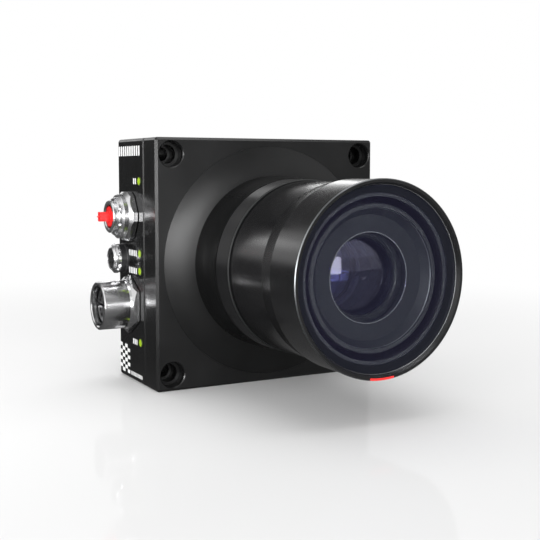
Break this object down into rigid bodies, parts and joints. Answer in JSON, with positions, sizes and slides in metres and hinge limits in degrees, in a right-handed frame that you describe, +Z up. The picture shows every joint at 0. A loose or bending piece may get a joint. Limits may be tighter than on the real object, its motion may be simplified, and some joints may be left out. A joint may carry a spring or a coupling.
{
  "type": "machine vision camera",
  "caption": "Square machine vision camera with a long round protective lens tube, a flat front window and round side sockets.",
  "frame": {"origin": "centre of the rear mounting face, on the optical axis", "axes": "+Z up, -Y along the lens's view, -X out of the side with the sockets"},
  "size_m": [0.0916, 0.0993, 0.08],
  "materials": {
    "front_block": "matte",
    "rear_block": "satin",
    "tube_black": "gloss",
    "lens_black": "satin",
    "bezel_grey": "satin",
    "black_rubber": "matte",
    "clear_glass": "polished",
    "coated_glass": "polished",
    "chrome": "polished",
    "steel": "satin",
    "gold": "polished",
    "black_plastic": "satin",
    "red_plastic": "satin",
    "lime_plastic": "gloss",
    "board_green": "satin",
    "chip_black": "matte",
    "sensor_silicon": "gloss",
    "pad_grey": "matte",
    "lamp_white": "gloss"
  },
  "bodies": {
    "camera": {"front_housing": "front_block", "tube_flange": "front_block", "flange_screws": "steel", "housing_gasket": "black_rubber", "rear_housing": "rear_block", "case_screws": "steel", "lens_mount_ring": "lens_black", "mount_ring_screws": "steel", "lens_base": "lens_black", "rear_element": "coated_glass", "rear_retainer": "lens_black", "top_seal": "black_rubber", "top_nut": "chrome", "top_socket": "chrome", "mid_collar": "black_plastic", "mid_socket": "chrome", "mid_insert": "black_plastic", "mid_contacts": "gold", "low_seal": "black_rubber", "low_socket": "chrome", "low_insert": "black_plastic", "low_shield": "steel", "low_contacts": "gold", "sensor_board": "board_green", "sensor_spacers": "steel", "sensor_screws": "steel", "image_sensor": "sensor_silicon", "sensor_glass": "clear_glass", "main_board": "board_green", "main_board_screws": "steel", "processor": "chip_black", "thermal_pad": "pad_grey", "memory_chips": "chip_black", "board_link": "black_plastic", "socket_board": "board_green", "board_header": "black_plastic", "socket_posts": "steel", "status_leds": "lamp_white", "light_pipe_1": "lime_plastic", "light_pipe_2": "lime_plastic", "light_pipe_3": "lime_plastic", "light_pipe_4": "lime_plastic"},
    "focus_control": {"focus_ring": "lens_black", "focus_lock_screw": "steel"},
    "focusing_group": {"lens_barrel": "lens_black", "lens_cell": "lens_black", "front_bezel": "bezel_grey", "front_element": "coated_glass", "front_retainer": "lens_black", "middle_element": "coated_glass", "middle_retainer": "lens_black", "aperture_stop": "lens_black"},
    "tube_cover": {"tube_seal": "black_rubber", "tube_base_ring": "tube_black", "lens_tube": "tube_black", "window_gasket": "black_rubber", "window_glass": "clear_glass"},
    "plug": {"dust_plug": "red_plastic"}
  },
  "joints": [
    {"name": "focus_turn", "type": "hinge", "parent": "camera", "child": "focus_control", "pos_m": [0, -0.0535, 0], "axis": [0, -1, 0], "range_deg": [0, 120]},
    {"name": "focus_slide", "type": "slide", "parent": "camera", "child": "focusing_group", "axis": [0, -1, 0], "range_m": [0, 0.0012]},
    {"name": "tube_off", "type": "slide", "parent": "camera", "child": "tube_cover", "axis": [0, -1, 0], "range_m": [0, 0.056]},
    {"name": "plug_pull", "type": "slide", "parent": "camera", "child": "plug", "axis": [-1, 0, 0], "range_m": [0, 0.012]}
  ],
  "couplings": [
    {"joint": "focus_slide", "follows": "focus_turn", "m_per_rad": 0.0005682}
  ]
}
